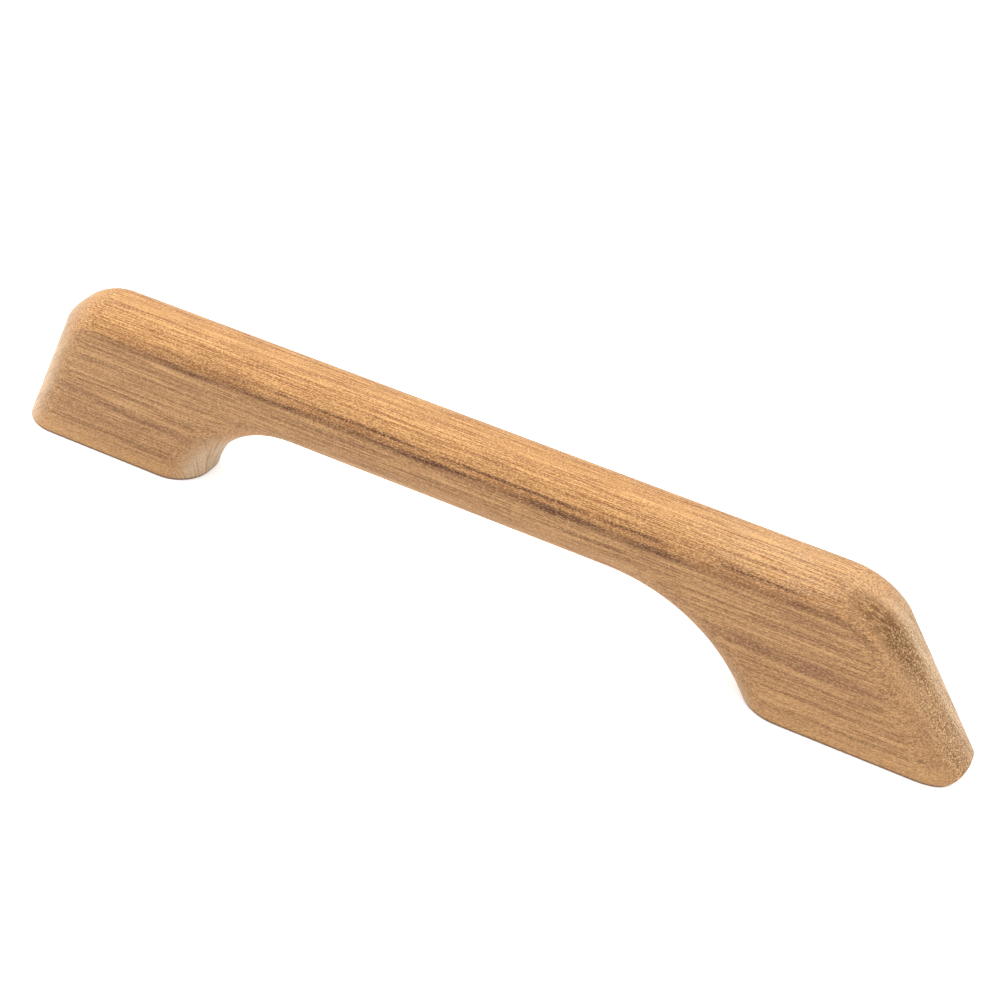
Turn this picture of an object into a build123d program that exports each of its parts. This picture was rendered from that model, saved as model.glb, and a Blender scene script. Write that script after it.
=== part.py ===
from build123d import *
import math
import os

# Single-loop wooden grab rail, screwed down from below through the deck it stands on.
# Millimetres. +X runs along the rail towards its raked end, +Y across it, +Z up off the deck.
# The origin is on the deck plane, halfway along the overall length and across the width.

# Whole rail
LENGTH = 360.0
WIDTH = 30.0
HEIGHT = 57.5
GRIP_THICKNESS = 28.1

# Outer ends: how far each slope runs in from the foot's sharp corner by the time it is at the top
BLUNT_END_RAKE = 19.4
RAKED_END_RAKE = 43.2
BLUNT_SHOULDER_RADIUS = 20.3
RAKED_SHOULDER_RADIUS = 32.4

# Feet: length along the deck between sharp corners, and lean of the face inside the loop
BLUNT_FOOT_LENGTH = 75.0
RAKED_FOOT_LENGTH = 80.5
BLUNT_INNER_LEAN = 9.8
RAKED_INNER_LEAN = 34.5
BLUNT_THROAT_RADIUS = 36.5
RAKED_THROAT_RADIUS = 62.0

# Edges: the router's round-over, fuller down both outer ends, the light ease round each sole,
# and the raked foot's toe, which curls up off the deck so that it doesn't end in a knife edge
ROUNDOVER = 13.0
END_ROUNDOVER = 14.0  # rounding of the corners seen looking down onto the sloping outer ends
SOLE_EASE = 1.0
TOE_LENGTH = 8.0
TOE_RADIUS = 9.5
TRIM_DEPTH = 20.0

# Fixing: one M8 threaded insert, driven up into each foot
FIXING_SPACING = 280.0
INSERT_LENGTH = 20.0
INSERT_RECESS = 0.4
INSERT_CREST_RADIUS = 6.0
INSERT_ROOT_RADIUS = 5.2
INSERT_RIDGES = 7
RIDGE_ROOT_WIDTH = 1.3
RIDGE_CREST_WIDTH = 0.3
TAPPED_RADIUS = 3.4
TAPPED_LEAD_IN = 0.6
DRIVE_SLOT_WIDTH = 1.8
DRIVE_SLOT_DEPTH = 2.2
PILOT_DEPTH = 32.0
PILOT_POINT = 3.0


def slope_standoff(rake, height):
    """How far a sloping end, met at the deck, stands out from the centre of an ease
    that touches the slope with its centre at this height."""
    return height * rake / HEIGHT + SOLE_EASE * math.hypot(rake, HEIGHT) / HEIGHT


def lean_run(lean, height):
    """Sideways run of a face that leans this many degrees off vertical."""
    return height * math.tan(math.radians(lean))


os.makedirs("parts", exist_ok=True)

grip_underside = HEIGHT - GRIP_THICKNESS
toe_start = LENGTH / 2 - TOE_LENGTH
nose_inset = LENGTH / 2 - SOLE_EASE
toe_rise = math.sqrt((TOE_RADIUS - SOLE_EASE) ** 2 - (nose_inset - toe_start) ** 2)
blunt_corner = -nose_inset - slope_standoff(BLUNT_END_RAKE, SOLE_EASE)
raked_corner = nose_inset + slope_standoff(RAKED_END_RAKE, TOE_RADIUS - toe_rise)
blunt_heel = blunt_corner + BLUNT_FOOT_LENGTH
raked_heel = raked_corner - RAKED_FOOT_LENGTH

# The side outline is drawn with both feet running on below the deck plane, along their own
# slopes, and the excess is trimmed off once the edges are rounded.
blunt_end_trim = BLUNT_END_RAKE / HEIGHT * TRIM_DEPTH
raked_end_trim = RAKED_END_RAKE / HEIGHT * TRIM_DEPTH
blunt_sole_outer = (blunt_corner - blunt_end_trim, -TRIM_DEPTH)
raked_sole_outer = (raked_corner + raked_end_trim, -TRIM_DEPTH)
blunt_sole_inner = (blunt_heel - lean_run(BLUNT_INNER_LEAN, TRIM_DEPTH), -TRIM_DEPTH)
raked_sole_inner = (raked_heel + lean_run(RAKED_INNER_LEAN, TRIM_DEPTH), -TRIM_DEPTH)
blunt_shoulder = (blunt_corner + BLUNT_END_RAKE, HEIGHT)
raked_shoulder = (raked_corner - RAKED_END_RAKE, HEIGHT)
blunt_throat = (blunt_heel + lean_run(BLUNT_INNER_LEAN, grip_underside), grip_underside)
raked_throat = (raked_heel - lean_run(RAKED_INNER_LEAN, grip_underside), grip_underside)

# Half section of the insert's outside, from its mouth inwards, as (radius, height) points
insert_mouth = INSERT_RECESS
insert_top = INSERT_RECESS + INSERT_LENGTH
ridge_pitch = INSERT_LENGTH / INSERT_RIDGES
insert_outside = [(INSERT_ROOT_RADIUS, insert_mouth)]
for ridge in range(INSERT_RIDGES):
    ridge_height = insert_mouth + (ridge + 0.5) * ridge_pitch
    insert_outside.append((INSERT_ROOT_RADIUS, ridge_height - RIDGE_ROOT_WIDTH / 2))
    insert_outside.append((INSERT_CREST_RADIUS, ridge_height - RIDGE_CREST_WIDTH / 2))
    insert_outside.append((INSERT_CREST_RADIUS, ridge_height + RIDGE_CREST_WIDTH / 2))
    insert_outside.append((INSERT_ROOT_RADIUS, ridge_height + RIDGE_ROOT_WIDTH / 2))
insert_outside.append((INSERT_ROOT_RADIUS, insert_top))

# The slope down each outer end, with its own X pointing straight out of the end
blunt_slope = Plane(
    origin=(blunt_corner, 0, 0),
    x_dir=(-HEIGHT, 0, BLUNT_END_RAKE),
    z_dir=(BLUNT_END_RAKE, 0, HEIGHT),
)
raked_slope = Plane(
    origin=(raked_corner, 0, 0),
    x_dir=(HEIGHT, 0, RAKED_END_RAKE),
    z_dir=(-RAKED_END_RAKE, 0, HEIGHT),
)

fixings = {"blunt_end_insert": -FIXING_SPACING / 2, "raked_end_insert": FIXING_SPACING / 2}

# Wooden rail: grip and both feet in one piece
with BuildPart() as teak_rail:
    with BuildSketch(Plane.XZ):
        with BuildLine():
            FilletPolyline(
                blunt_sole_outer,
                blunt_shoulder,
                raked_shoulder,
                raked_sole_outer,
                radius=[BLUNT_SHOULDER_RADIUS, RAKED_SHOULDER_RADIUS],
            )
            Line(raked_sole_outer, raked_sole_inner)
            FilletPolyline(
                raked_sole_inner,
                raked_throat,
                blunt_throat,
                blunt_sole_inner,
                radius=[RAKED_THROAT_RADIUS, BLUNT_THROAT_RADIUS],
            )
            Line(blunt_sole_inner, blunt_sole_outer)
        make_face()
    extrude(amount=WIDTH / 2, both=True)
    side_faces = faces().filter_by(Axis.Y)
    fillet(side_faces.edges(), radius=ROUNDOVER)
    for slope in (blunt_slope, raked_slope):
        with BuildSketch(slope):
            with Locations((-LENGTH, 0)):
                Rectangle(2 * LENGTH, WIDTH)
            fillet(vertices().group_by(Axis.X)[-1], radius=END_ROUNDOVER)
        extrude(amount=LENGTH, both=True, mode=Mode.INTERSECT)
    with BuildSketch(Plane.XZ):
        with BuildLine():
            Polyline(
                (toe_start, 0),
                (-LENGTH, 0),
                (-LENGTH, -2 * TRIM_DEPTH),
                (LENGTH, -2 * TRIM_DEPTH),
                (LENGTH, TOE_RADIUS),
                (toe_start + TOE_RADIUS, TOE_RADIUS),
            )
            TangentArc((toe_start, 0), (toe_start + TOE_RADIUS, TOE_RADIUS), tangent=(1, 0))
        make_face()
    extrude(amount=WIDTH, both=True, mode=Mode.SUBTRACT)
    soles = faces().filter_by(Axis.Z).group_by(Axis.Z)[0]
    toe = faces().filter_by(GeomType.CYLINDER).filter_by(lambda face: face.radius == TOE_RADIUS)
    outline = (soles.edges() + toe.edges()).filter_by(
        lambda edge: abs(edge.center().X - toe_start) > SOLE_EASE
    )
    fillet(outline, radius=SOLE_EASE)
    # Each insert's threads have cut their own seat; the pilot hole runs on above it
    for fixing_x in fixings.values():
        with BuildSketch(Plane.XZ):
            with BuildLine():
                Polyline(
                    (fixing_x, 0),
                    (fixing_x + INSERT_CREST_RADIUS, 0),
                    (fixing_x + INSERT_CREST_RADIUS, insert_mouth),
                    *[(fixing_x + radius, height) for radius, height in insert_outside],
                    (fixing_x + INSERT_ROOT_RADIUS, PILOT_DEPTH - PILOT_POINT),
                    (fixing_x, PILOT_DEPTH),
                    close=True,
                )
            make_face()
        revolve(axis=Axis((fixing_x, 0, 0), (0, 0, 1)), mode=Mode.SUBTRACT)
teak_rail.part.label = "teak_rail"
export_step(teak_rail.part, "parts/teak_rail.step")

# Threaded inserts: brass sleeves with a coarse outside thread, shown as separate ridges,
# a tapped bore right through and a screwdriver slot across the mouth
for insert_name, fixing_x in fixings.items():
    with BuildPart() as insert:
        with BuildSketch(Plane.XZ):
            with BuildLine():
                Polyline(
                    (fixing_x + TAPPED_RADIUS + TAPPED_LEAD_IN, insert_mouth),
                    *[(fixing_x + radius, height) for radius, height in insert_outside],
                    (fixing_x + TAPPED_RADIUS, insert_top),
                    (fixing_x + TAPPED_RADIUS, insert_mouth + TAPPED_LEAD_IN),
                    close=True,
                )
            make_face()
        revolve(axis=Axis((fixing_x, 0, 0), (0, 0, 1)))
        with BuildSketch(Plane.XY.offset(insert_mouth)):
            with Locations((fixing_x, 0)):
                Rectangle(2 * INSERT_CREST_RADIUS, DRIVE_SLOT_WIDTH)
        extrude(amount=DRIVE_SLOT_DEPTH, mode=Mode.SUBTRACT)
    insert.part.label = insert_name
    export_step(insert.part, f"parts/{insert_name}.step")
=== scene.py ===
import bpy
import math
from mathutils import Matrix, Vector

# A single-loop teak grab rail on a pale floor. Metres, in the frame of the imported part:
# +X runs to the raked end, +Y across, +Z up off the deck. The materials work in millimetres.

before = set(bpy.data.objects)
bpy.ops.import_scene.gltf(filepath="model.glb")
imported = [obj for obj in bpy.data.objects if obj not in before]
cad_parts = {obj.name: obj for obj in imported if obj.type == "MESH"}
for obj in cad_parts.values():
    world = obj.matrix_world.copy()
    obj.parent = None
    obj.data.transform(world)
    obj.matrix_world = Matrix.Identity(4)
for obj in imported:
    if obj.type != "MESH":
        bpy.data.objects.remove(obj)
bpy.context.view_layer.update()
MM = 0.001
MM_PER_METRE = 1000.0
BUMP_STRENGTH = 0.5

# A Mix node has sockets for every kind of value: these are its factor and the ones for colours
MIX_FACTOR = 0
MIX_BELOW = 6
MIX_ABOVE = 7
MIX_RESULT = 2


# ---------------------------------------------------------------- shader building blocks
class Wire:
    """A value flowing through a node tree, so that formulas can be written as formulas."""

    def __init__(self, tree, socket):
        self.tree = tree
        self.socket = socket

    def apply(self, operation, *others):
        """The result of one Math node on this value and the others, wires or plain numbers."""
        node = self.tree.nodes.new("ShaderNodeMath")
        node.operation = operation
        for slot, value in enumerate((self, *others)):
            if isinstance(value, Wire):
                self.tree.links.new(value.socket, node.inputs[slot])
            else:
                node.inputs[slot].default_value = value
        return Wire(self.tree, node.outputs[0])

    def __add__(self, other):
        return self.apply("ADD", other)

    def __sub__(self, other):
        return self.apply("SUBTRACT", other)

    def __mul__(self, other):
        return self.apply("MULTIPLY", other)

    def __truediv__(self, other):
        return self.apply("DIVIDE", other)

    def smooth(self, low, high, to_low=0.0, to_high=1.0):
        """Eased step from to_low at low to to_high at high, level beyond them."""
        node = self.tree.nodes.new("ShaderNodeMapRange")
        node.interpolation_type = "SMOOTHSTEP"
        self.tree.links.new(self.socket, node.inputs["Value"])
        node.inputs["From Min"].default_value = low
        node.inputs["From Max"].default_value = high
        node.inputs["To Min"].default_value = to_low
        node.inputs["To Max"].default_value = to_high
        return Wire(self.tree, node.outputs["Result"])

    def bell(self, rise, full, hold, fall):
        """0 up to rise, 1 from full to hold, and 0 again from fall on."""
        return self.smooth(rise, full) * self.smooth(hold, fall, 1.0, 0.0)

    def swing(self, size):
        """Noise centred on 0, and scaled to this size from trough to crest."""
        return (self - 0.5) * size

    def ramp(self, stops):
        """Colour by value, from a list of (position, colour) stops."""
        node = self.tree.nodes.new("ShaderNodeValToRGB")
        node.color_ramp.interpolation = "B_SPLINE"
        elements = node.color_ramp.elements
        while len(elements) < len(stops):
            elements.new(0.5)
        for element, (position, colour) in zip(elements, stops):
            element.position = position
            element.color = (*colour, 1.0)
        self.tree.links.new(self.socket, node.inputs["Fac"])
        return Wire(self.tree, node.outputs["Color"])


class Solid:
    """A material painted through the solid, by place in the object: x, y and z wires in millimetres."""

    def __init__(self, name):
        self.material = bpy.data.materials.new(name)
        self.material.use_nodes = True
        self.tree = self.material.node_tree
        self.tree.nodes.clear()
        output = self.tree.nodes.new("ShaderNodeOutputMaterial")
        self.shader = self.tree.nodes.new("ShaderNodeBsdfPrincipled")
        self.tree.links.new(self.shader.outputs["BSDF"], output.inputs["Surface"])
        place = self.tree.nodes.new("ShaderNodeTexCoord").outputs["Object"]
        self.x, self.y, self.z = (axis * MM_PER_METRE for axis in self.split(place))

    def split(self, vector):
        """Wires for the x, y and z of a vector socket."""
        node = self.tree.nodes.new("ShaderNodeSeparateXYZ")
        self.tree.links.new(vector, node.inputs[0])
        return [Wire(self.tree, node.outputs[axis]) for axis in range(3)]

    def join(self, x, y, z):
        """A vector socket from three wires."""
        node = self.tree.nodes.new("ShaderNodeCombineXYZ")
        for axis, value in enumerate((x, y, z)):
            self.tree.links.new(value.socket, node.inputs[axis])
        return node.outputs[0]

    def noise(self, x, y, z, detail=2.0, roughness=0.5, shift=0.0):
        """Fractal noise of about 0 to 1. The caller divides x, y and z by the size of the grain in
        millimetres, and shift keeps one pattern from lining up with another."""
        node = self.tree.nodes.new("ShaderNodeTexNoise")
        node.inputs["Scale"].default_value = 1.0
        node.inputs["Detail"].default_value = detail
        node.inputs["Roughness"].default_value = roughness
        self.tree.links.new(self.join(x + shift, y, z), node.inputs["Vector"])
        return Wire(self.tree, node.outputs["Fac"])

    def cells(self, x, y, z):
        """Distance to the nearest of scattered points, and a random shade for each point."""
        node = self.tree.nodes.new("ShaderNodeTexVoronoi")
        node.inputs["Scale"].default_value = 1.0
        self.tree.links.new(self.join(x, y, z), node.inputs["Vector"])
        shade = self.tree.nodes.new("ShaderNodeSeparateColor")
        self.tree.links.new(node.outputs["Color"], shade.inputs[0])
        return Wire(self.tree, node.outputs["Distance"]), Wire(self.tree, shade.outputs[0])

    def mix(self, amount, below, above):
        """Colour mix: below where amount is 0, above where it is 1."""
        node = self.tree.nodes.new("ShaderNodeMix")
        node.data_type = "RGBA"
        self.tree.links.new(amount.socket, node.inputs[MIX_FACTOR])
        for slot, colour in ((MIX_BELOW, below), (MIX_ABOVE, above)):
            if isinstance(colour, Wire):
                self.tree.links.new(colour.socket, node.inputs[slot])
            else:
                node.inputs[slot].default_value = (*colour, 1.0)
        return Wire(self.tree, node.outputs[MIX_RESULT])

    def bump(self, height, distance, under=None):
        """Surface relief this many metres deep, laid over the relief under it, if there is any."""
        node = self.tree.nodes.new("ShaderNodeBump")
        node.inputs["Distance"].default_value = distance
        node.inputs["Strength"].default_value = BUMP_STRENGTH
        self.tree.links.new(height.socket, node.inputs["Height"])
        if under is not None:
            self.tree.links.new(under.socket, node.inputs["Normal"])
        return Wire(self.tree, node.outputs["Normal"])

    def feed(self, name, wire):
        """Links a wire to one of the shader's sockets."""
        self.tree.links.new(wire.socket, self.shader.inputs[name])

    def fix(self, name, value):
        """Sets one of the shader's sockets to a value that is the same all over."""
        self.shader.inputs[name].default_value = value


def srgb(red, green, blue):
    """Linear colour of an 8-bit sRGB one."""
    def linear(level):
        level /= 255
        return level / 12.92 if level <= 0.04045 else ((level + 0.055) / 1.055) ** 2.4
    return linear(red), linear(green), linear(blue)


# ---------------------------------------------------------------- teak
# Wood in front of the dark growth sheet, and the golden wood behind it
SIDE_PALE = srgb(165, 126, 84)
SIDE = srgb(144, 107, 70)
SIDE_DEEP = srgb(120, 86, 56)
GOLD_PALE = srgb(184, 139, 86)
GOLD = srgb(160, 116, 67)
GOLD_DEEP = srgb(126, 83, 45)

# Fibres, bands, the dark sheet itself, specks (the pale ones partly painted glints) and pores
FIBRE_DEEP = srgb(100, 68, 43)
VEIN = srgb(106, 71, 49)
BROWN = srgb(112, 70, 39)
UMBER = srgb(60, 28, 14)
DASH = srgb(98, 61, 36)
PALE_FLECK_AND_GLINT = srgb(214, 172, 122)
PORE = srgb(84, 51, 31)

# End grain (its pale tone partly painted sheen), and painted contact shade along the eased edge round
# each sole
END_PALE = srgb(184, 164, 138)
END_DEEP = srgb(112, 80, 48)
END_CRACK = srgb(98, 68, 41)
OLIVE = srgb(92, 60, 28)
# Painted contact shade, where the sole's eased edge meets the deck
SOLE_CONTACT_SHADE = srgb(74, 50, 34)

# The growth sheets face this way, and the dark one passes this far in front of the origin
SHEET_FACING_Y = 0.994
SHEET_FACING_Z = 0.105
DARK_SHEET_OFFSET = 9.3

# Depth of the lines, specks and pores in the surface
RELIEF = 0.05 * MM

# How far a narrow band takes to fade in at one end and out at the other
LINE_FADE = 14.0

# The bands and lines below are given in millimetres.
# The broad band in each foot, which slopes down towards the raked end:
# height at its middle, middle x, half width, first x, last x, fade
BROAD_BANDS = (
    (21.5, -140.0, 3.0, -172.0, -96.0, 24.0),
    (27.5, 118.0, 3.6, 78.0, 158.0, 30.0),
)
BROAD_BAND_SLOPE = 0.05

# Level bands in the feet: height, half width, first x, last x, strength, fade
FOOT_BANDS = (
    (38.7, 1.2, -158.0, -90.0, 0.6, LINE_FADE),
    (45.0, 1.0, -156.0, -112.0, 0.4, LINE_FADE),
    (33.0, 0.9, -164.0, -112.0, 0.4, LINE_FADE),
    (14.5, 3.2, -170.0, -96.0, 0.4, 24.0),
    (4.5, 1.0, -168.0, -105.0, 0.2, LINE_FADE),
    (38.0, 1.3, 96.0, 146.0, 0.5, LINE_FADE),
    (44.0, 1.6, 108.0, 142.0, 0.5, LINE_FADE),
    (21.0, 0.9, 96.0, 152.0, 0.45, LINE_FADE),
    (14.5, 0.9, 116.0, 164.0, 0.6, LINE_FADE),
    (6.0, 1.0, 104.0, 164.0, 0.2, LINE_FADE),
)

# Brown lines along the top: depth behind the dark sheet, half width, first x, last x, strength
TOP_LINES = (
    (12.8, 0.8, -86.0, 8.0, 0.6),
    (10.5, 0.7, -40.0, 48.0, 0.5),
    (11.8, 0.5, -160.0, -70.0, 0.35),
    (7.4, 0.6, -150.0, 130.0, 0.3),
    (5.2, 0.7, -90.0, 140.0, 0.35),
)


class Teak(Solid):
    """Solid teak, cut from a plank whose growth rings are near-upright sheets that run the length
    of the rail. One sheet is dark, and surfaces along the near top edge. Each method lays one
    feature of the wood over the colour it is given."""

    def __init__(self):
        super().__init__("teak")
        x, y, z = self.x, self.y, self.z
        facing = self.tree.nodes.new("ShaderNodeNewGeometry").outputs["Normal"]
        facing_x, _, facing_z = self.split(facing)

        # The patterns that several features share, from the longest to the finest
        drift = self.noise(x / 150, y / 60, z / 60, detail=1.0, shift=3.0)
        self.waver = self.noise(x / 60, y / 9, z / 7, shift=7.0)
        self.thread = self.noise(x / 26, y / 0.6, z / 0.5, detail=3.0, roughness=0.65, shift=1.0)
        self.line = self.noise(x / 22, y / 0.27, z / 0.25, detail=1.0, shift=13.0)
        self.dash = self.noise(x / 0.8, y / 0.26, z / 0.26, detail=0.0, shift=5.0)
        spot, shade = self.cells(x / 1.3, y / 0.38, z / 0.38)
        self.pore = spot.smooth(0.16, 0.36, 1.0, 0.0) * shade.smooth(0.45, 0.95)

        # Depth in millimetres behind the dark sheet, and the same with fibres fraying each sheet
        sheet = y * SHEET_FACING_Y + z * SHEET_FACING_Z + DARK_SHEET_OFFSET
        self.sheet = sheet + drift.swing(0.5) + self.waver.swing(0.6)
        self.frayed = self.sheet + self.thread.swing(0.9) + self.line.swing(0.6)
        self.behind = self.frayed.smooth(-0.3, 1.3)

        # end is 1 on end grain, where the fibres are cut across, and lengthwise is least there
        self.end = (facing_x * facing_x).smooth(0.02, 0.6)
        self.lengthwise = self.end.smooth(0.0, 1.0, 1.0, 0.2)

        # off_sole is 0 on faces that look straight down, and raked is 1 at the raked end
        self.off_sole = facing_z.smooth(-0.98, -0.7)
        self.raked = x.smooth(118.0, 144.0)

    def ground(self):
        """Slow change of tone from sheet to sheet: duller in front of the dark one, golden behind."""
        x, z = self.x, self.z
        bent_z = z / 1.5 + self.waver.swing(3.0)
        slow = self.noise(x / 70, self.sheet / 1.6, bent_z, detail=3.0, roughness=0.55)
        dull = slow.ramp([(0.34, SIDE_DEEP), (0.50, SIDE), (0.66, SIDE_PALE)])
        tone = self.noise(self.sheet / 1.3, x / 200, z / 8, detail=4.0, roughness=0.6)
        gold = tone.ramp([(0.32, GOLD_DEEP), (0.50, GOLD), (0.68, GOLD_PALE)])
        colour = self.mix(self.behind, dull, gold)

        # The golden wood is paler towards both ends, browner near the dark sheet and deep far behind
        near_ends = x.smooth(45.0, 115.0, 0.0, 0.42) + x.smooth(-172.0, -135.0, 0.3, 0.0)
        colour = self.mix(self.behind * near_ends, colour, END_PALE)
        colour = self.mix(self.behind * self.frayed.smooth(5.0, 13.0, 0.2, 0.0), colour, BROWN)
        return self.mix(self.frayed.smooth(15.0, 21.0, 0.0, 0.5), colour, GOLD_DEEP)

    def fibres(self, colour):
        """Long thin lines, darker and paler, a little fainter in front of the dark sheet."""
        strength = self.behind.smooth(0.0, 1.0, 0.68, 1.0) * self.lengthwise
        deep = self.mix(self.behind, FIBRE_DEEP, GOLD_DEEP)
        pale = self.mix(self.behind, SIDE_PALE, GOLD_PALE)
        colour = self.mix(self.line.smooth(0.40, 0.49, 1.0, 0.0) * strength, colour, deep)
        return self.mix(self.line.smooth(0.51, 0.60, 0.0, 1.0) * strength, colour, pale)

    def band(self, colour, shade, level, half_width, first_x, last_x, strength, fade):
        """A band of a shade where level is near 0, between two places along the rail."""
        across = level.apply("ABSOLUTE").smooth(0.0, half_width, 1.0, 0.0)
        reach = self.x.bell(first_x, first_x + fade, last_x - fade, last_x)
        return self.mix(across * reach * strength, colour, shade)

    def bands(self, colour):
        """Wavy bands on the near side of both feet, and brown lines along the top."""
        x, y, z = self.x, self.y, self.z
        wavy = self.waver.swing(6.0) + self.thread.swing(3.5)
        near = y.smooth(-13.0, -7.0, 1.0, 0.0)
        broken = near * self.noise(x / 20, y / 4, z / 1.2, shift=41.0).smooth(0.34, 0.52, 0.55, 1.0)
        for height, middle_x, half_width, first_x, last_x, fade in BROAD_BANDS:
            level = z - height + (x - middle_x) * BROAD_BAND_SLOPE + wavy
            colour = self.band(colour, VEIN, level, half_width, first_x, last_x, broken, fade)
        for height, half_width, first_x, last_x, strength, fade in FOOT_BANDS:
            level = z - height + wavy
            colour = self.band(colour, VEIN, level, half_width, first_x, last_x, near * strength, fade)
        for depth, half_width, first_x, last_x, strength in TOP_LINES:
            level = self.frayed - depth
            colour = self.band(colour, BROWN, level, half_width, first_x, last_x, strength, LINE_FADE)
        return colour

    def paint_low_bounce_light(self, colour):
        """Painted bounce light from the floor: both feet are paler low down, except on their soles."""
        # painted floor bounce light on the lower sides
        return self.mix(self.z.smooth(2.0, 10.0, 0.6, 0.0) * self.off_sole, colour, SIDE_PALE)

    def dark_sheet(self, colour):
        """A brown zone with a dark core, and a second dark line behind it. They fade out low in
        the rail and towards both ends."""
        x, y, z = self.x, self.y, self.z
        present = z.smooth(36.0, 46.0) * x.smooth(-160.0, -124.0) * x.smooth(108.0, 150.0, 1.0, 0.3)
        zone = self.frayed.bell(-0.6, 0.0, 1.2, 4.6)
        colour = self.mix(zone * present * 0.5, colour, BROWN)
        patchy = self.noise(x / 30, y / 4, z / 4, shift=11.0).smooth(0.36, 0.56, 0.35, 1.0)
        core = self.frayed.bell(-0.5, -0.15, 0.0, 0.9) * patchy * self.line.smooth(0.42, 0.58, 1.1, 0.7)
        colour = self.mix(core * present, colour, UMBER)
        patchy = self.noise(x / 24, y / 4, z / 4, shift=23.0).smooth(0.42, 0.56)
        second = self.frayed.bell(1.3, 1.6, 1.7, 2.3) * patchy
        return self.mix(second * present * 0.85, colour, UMBER)

    def specks(self, colour):
        """Short specks along the fibres, darker and paler, stronger in the golden wood, and pores. The
        pale ones are partly the fibres' own colour and partly painted glints.
        """
        strength = self.behind.smooth(0.0, 1.0, 0.24, 0.34) * self.lengthwise
        colour = self.mix(self.dash.smooth(0.36, 0.48, 1.0, 0.0) * strength, colour, DASH)
        # pale specks: partly the fibres' own colour, partly painted glints
        colour = self.mix(self.dash.smooth(0.53, 0.64, 0.0, 1.0) * strength, colour, PALE_FLECK_AND_GLINT)
        return self.mix(self.pore * 0.55, colour, PORE)

    def end_grain(self, colour):
        """Each ring shows where the fibres are cut across. The blunt end is pale and less golden,
        partly its own end-grain colour and partly painted sheen, with painted shade darkening it
        towards its top;
        the raked end is deep on its near side and pale on its far side, that pale partly painted
        highlight."""
        x, z, raked, frayed = self.x, self.z, self.raked, self.frayed
        blunt = raked.smooth(0.0, 1.0, 1.0, 0.0)
        rings = self.noise((self.sheet + z * 0.3) / 0.6, z / 26, x / 26, roughness=0.6)
        ring_strength = raked.smooth(0.0, 1.0, 0.7, 1.0)
        # Paler end grain: partly its own colour and partly painted sheen, and on the raked end's far
        # side partly painted highlight
        pale_grain_and_sheen = raked.smooth(0.0, 1.0, 0.72, 0.0) + raked * frayed.smooth(7.0, 12.5, 0.06, 0.54)
        cut = self.mix(pale_grain_and_sheen, colour, END_PALE)
        # Painted shade: the blunt end darker towards its top
        cut = self.mix(z.smooth(26.0, 44.0, 0.0, 0.3) * blunt, cut, END_DEEP)
        cut = self.mix(rings.smooth(0.36, 0.54, 0.8, 0.0) * ring_strength, cut, END_DEEP)
        cut = self.mix(raked * frayed.smooth(8.0, 12.5, 0.42, 0.03), cut, END_DEEP)
        return self.mix(self.end, colour, cut)

    def raked_patch(self, colour):
        """A dark group of rings behind the dark sheet, at the top of the raked end."""
        x, y, z = self.x, self.y, self.z
        group = self.frayed.bell(0.5, 4.5, 7.0, 12.0) * self.raked
        uneven = self.noise(x / 3, (y + z * 0.4) / 0.6, z / 4, roughness=0.6, shift=37.0)
        uneven = uneven.smooth(0.42, 0.50, 0.3, 1.1)
        return self.mix(group * uneven * z.smooth(30.0, 42.0, 0.15, 0.95), colour, OLIVE)

    def end_specks(self, colour):
        """Dark cracks and pale flecks where fibres are cut across, stronger at the raked end."""
        x, y, z = self.x, self.y, self.z
        speckle = self.noise(x / 0.7, (y + z * 0.4) / 0.38, z / 0.62, roughness=0.75, shift=19.0)
        strength = self.raked.smooth(0.0, 1.0, 0.4, 1.0) * self.end
        colour = self.mix(speckle.smooth(0.38, 0.49, 0.95, 0.0) * strength, colour, END_CRACK)
        return self.mix(speckle.smooth(0.52, 0.62, 0.0, 0.7) * strength, colour, PALE_FLECK_AND_GLINT)

    def paint_sole_contact_shade(self, colour):
        """Painted contact shade: the eased edge round each sole is darker, where it meets the deck."""
        return self.mix(self.z.smooth(0.5, 1.6, 0.85, 0.0) * self.off_sole, colour, SOLE_CONTACT_SHADE)


def teak():
    """The rail's wood: each feature in turn over the last, then its gloss and relief."""
    wood = Teak()
    colour = wood.ground()
    colour = wood.fibres(colour)
    colour = wood.bands(colour)
    colour = wood.paint_low_bounce_light(colour)
    colour = wood.dark_sheet(colour)
    colour = wood.specks(colour)
    colour = wood.end_grain(colour)
    colour = wood.raked_patch(colour)
    colour = wood.end_specks(colour)
    colour = wood.paint_sole_contact_shade(colour)
    wood.feed("Base Color", colour)
    wood.feed("Roughness", wood.line.smooth(0.3, 0.7, 0.62, 0.5))
    wood.fix("Specular IOR Level", 0.2)
    lines = wood.bump(wood.line, RELIEF)
    grain = wood.bump(wood.dash, RELIEF, under=lines)
    wood.feed("Normal", wood.bump(wood.pore, -RELIEF, under=grain))
    return wood.material


# ---------------------------------------------------------------- brass
BRASS_DULL = srgb(150, 118, 62)
BRASS_BRIGHT = srgb(206, 172, 104)
TURNING_RELIEF = 0.02 * MM


def brass():
    """Tarnished brass with fine turning marks round it."""
    metal = Solid("insert_brass")
    x, y, z = metal.x, metal.y, metal.z
    tarnish = metal.noise(x / 2.2, y / 2.2, z / 2.2, detail=4.0)
    metal.feed("Base Color", tarnish.ramp([(0.35, BRASS_DULL), (0.65, BRASS_BRIGHT)]))
    metal.feed("Roughness", tarnish.smooth(0.3, 0.7, 0.42, 0.26))
    metal.fix("Metallic", 1.0)
    turning = metal.noise(x / 6, y / 6, z / 0.12, detail=1.0)
    metal.feed("Normal", metal.bump(turning, TURNING_RELIEF))
    return metal.material


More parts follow.
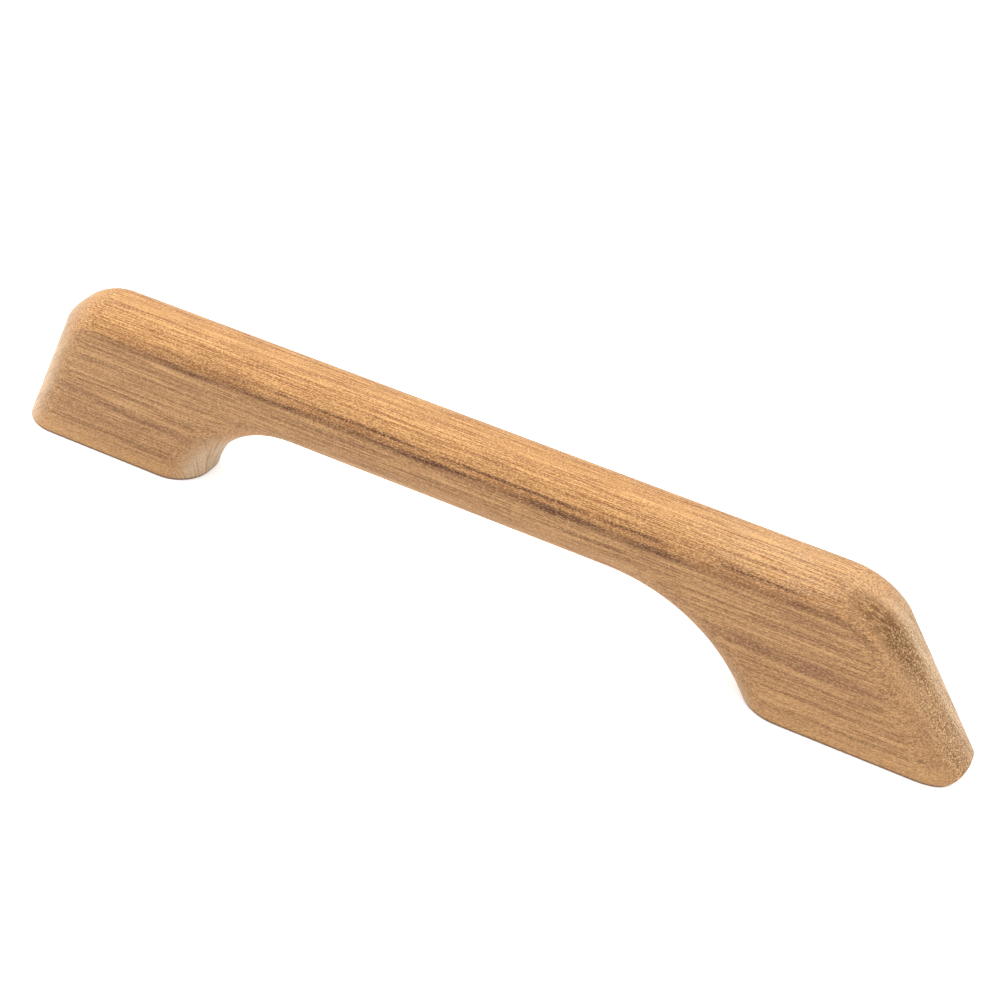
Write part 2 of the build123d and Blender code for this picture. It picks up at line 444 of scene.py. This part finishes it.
def dress(node, material):
    """Gives a CAD node this material and no other."""
    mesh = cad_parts[node].data
    mesh.materials.clear()
    mesh.materials.append(material)


dress("teak_rail", teak())
brass_material = brass()
for insert in ("blunt_end_insert", "raked_end_insert"):
    dress(insert, brass_material)


# ---------------------------------------------------------------- floor
FLOOR_RADIUS = 6.0
FLOOR_PALE = (0.72, 0.72, 0.72)
FLOOR_MOTTLE = (0.7128, 0.7128, 0.7128)
FLOOR_ROUGHNESS = 0.9
FLOOR_GLOW = 0.4


def floor_white():
    """Matt white that glows a little, so that hardly a shadow shows on it."""
    paint = Solid("floor_white")
    mottle = paint.noise(paint.x / 60, paint.y / 60, paint.z / 60)
    paint.feed("Base Color", mottle.ramp([(0.3, FLOOR_PALE), (0.7, FLOOR_MOTTLE)]))
    paint.fix("Roughness", FLOOR_ROUGHNESS)
    paint.fix("Specular IOR Level", 0.0)
    paint.fix("Emission Color", (1.0, 1.0, 1.0, 1.0))
    paint.fix("Emission Strength", FLOOR_GLOW)
    return paint.material


bpy.ops.mesh.primitive_circle_add(vertices=96, radius=FLOOR_RADIUS, fill_type="NGON")
floor = bpy.context.object
floor.name = "floor"
floor.data.materials.append(floor_white())


# ---------------------------------------------------------------- light
SKY_AT_HORIZON = 0.85
SKY_OVERHEAD = 2.4


def studio_sky():
    """White light from all round, brighter from above than from the sides."""
    world = bpy.data.worlds.new("studio")
    bpy.context.scene.world = world
    world.use_nodes = True
    sky = world.node_tree
    sky.nodes.clear()
    output = sky.nodes.new("ShaderNodeOutputWorld")
    background = sky.nodes.new("ShaderNodeBackground")
    background.inputs["Color"].default_value = (1.0, 1.0, 1.0, 1.0)
    sky.links.new(background.outputs[0], output.inputs["Surface"])
    direction = sky.nodes.new("ShaderNodeTexCoord").outputs["Generated"]
    split = sky.nodes.new("ShaderNodeSeparateXYZ")
    sky.links.new(direction, split.inputs[0])
    strength = Wire(sky, split.outputs[2]).smooth(0.0, 1.0, SKY_AT_HORIZON, SKY_OVERHEAD)
    sky.links.new(strength.socket, background.inputs["Strength"])


def soft_light(name, place, size, watts, colour):
    """A rectangular lamp that points at the origin."""
    light = bpy.data.lights.new(name, "AREA")
    light.shape = "RECTANGLE"
    light.size, light.size_y = size
    light.energy = watts
    light.color = colour
    lamp = bpy.data.objects.new(name, light)
    bpy.context.scene.collection.objects.link(lamp)
    lamp.location = place
    lamp.rotation_euler = (-Vector(place)).to_track_quat("-Z", "Y").to_euler()


studio_sky()
soft_light("key", place=(-0.45, 0.3, 1.35), size=(1.6, 1.2), watts=6.0, colour=(1.0, 0.94, 0.84))
soft_light("side", place=(-1.5, -0.1, 0.3), size=(0.9, 0.9), watts=10.5, colour=(1.0, 1.0, 1.0))


# ---------------------------------------------------------------- camera
# It looks at TARGET from DISTANCE away, and is then slid across its own view
FOCAL_MM = 72.0
SENSOR_MM = 36.0
TARGET = Vector((0.0, 0.0, 20 * MM))
AZIMUTH = math.radians(20.009)
ELEVATION = math.radians(34.529)
ROLL = math.radians(9.457)
DISTANCE = 683.94 * MM
SLIDE_RIGHT = 7.583 * MM
SLIDE_UP = 9.303 * MM

# Its own axes, and where it stands
back = Vector((math.sin(AZIMUTH) * math.cos(ELEVATION), -math.cos(AZIMUTH) * math.cos(ELEVATION),
               math.sin(ELEVATION)))
level = Vector((math.cos(AZIMUTH), math.sin(AZIMUTH), 0.0))
upright = back.cross(level)
right = math.cos(ROLL) * level + math.sin(ROLL) * upright
up = math.cos(ROLL) * upright - math.sin(ROLL) * level
place = TARGET + DISTANCE * back + SLIDE_RIGHT * right + SLIDE_UP * up
camera_data = bpy.data.cameras.new("camera")
camera_data.lens = FOCAL_MM
camera_data.sensor_width = SENSOR_MM
camera_data.clip_start = 10 * MM
camera = bpy.data.objects.new("camera", camera_data)
bpy.context.scene.collection.objects.link(camera)
camera.matrix_world = Matrix.Translation(place) @ Matrix((right, up, back)).transposed().to_4x4()
bpy.context.scene.camera = camera
bpy.context.scene.view_settings.view_transform = "Standard"
bpy.context.scene.view_settings.look = "None"
